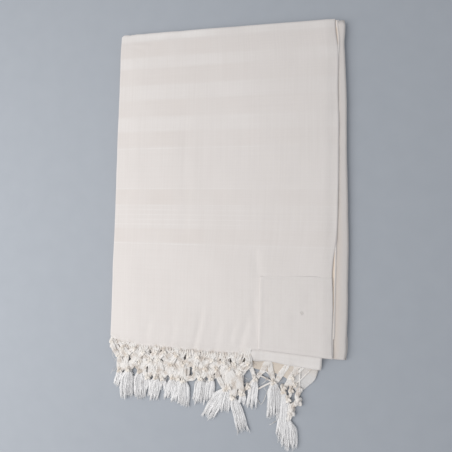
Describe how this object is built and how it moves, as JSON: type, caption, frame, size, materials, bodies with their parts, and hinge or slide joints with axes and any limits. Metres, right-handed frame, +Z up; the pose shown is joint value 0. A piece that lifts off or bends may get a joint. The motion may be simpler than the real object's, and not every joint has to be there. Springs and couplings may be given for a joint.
{
  "type": "tallit prayer shawl",
  "caption": "Fringed prayer shawl folded flat into a long rectangle, with a square corner patch and the knotted tassels of both ends lying out at the bottom.",
  "frame": {"origin": "middle of the footprint, on the surface that the shawl lies on", "axes": "+X from the left fold to the selvedges, +Y from the fringed ends to the top fold, +Z up"},
  "size_m": [0.3326, 0.584, 0.0118],
  "materials": {
    "cloth": "fine weave, white on white stripes",
    "patch": "fine weave",
    "fringe": "soft twisted yarn"
  },
  "bodies": {
    "root": {"middle_fold": "cloth", "hidden_layers": "cloth", "under_half_selvedge": "cloth", "visible_end": "cloth", "second_end_flap": "cloth", "second_end_under_corner": "cloth", "corner_patch": "patch", "first_end_fringe_net": "fringe", "second_end_fringe_net": "fringe", "tassel_01": "fringe", "tassel_02": "fringe", "tassel_03": "fringe", "tassel_04": "fringe", "tassel_05": "fringe", "tassel_06": "fringe", "tassel_07": "fringe", "tassel_08": "fringe", "tassel_09": "fringe", "tassel_10": "fringe", "tassel_11": "fringe", "tassel_12": "fringe", "tassel_13": "fringe", "tassel_14": "fringe", "tassel_15": "fringe", "tassel_16": "fringe", "tassel_17": "fringe", "tassel_18": "fringe", "tassel_19": "fringe", "corner_cord": "fringe"}
  },
  "joints": []
}
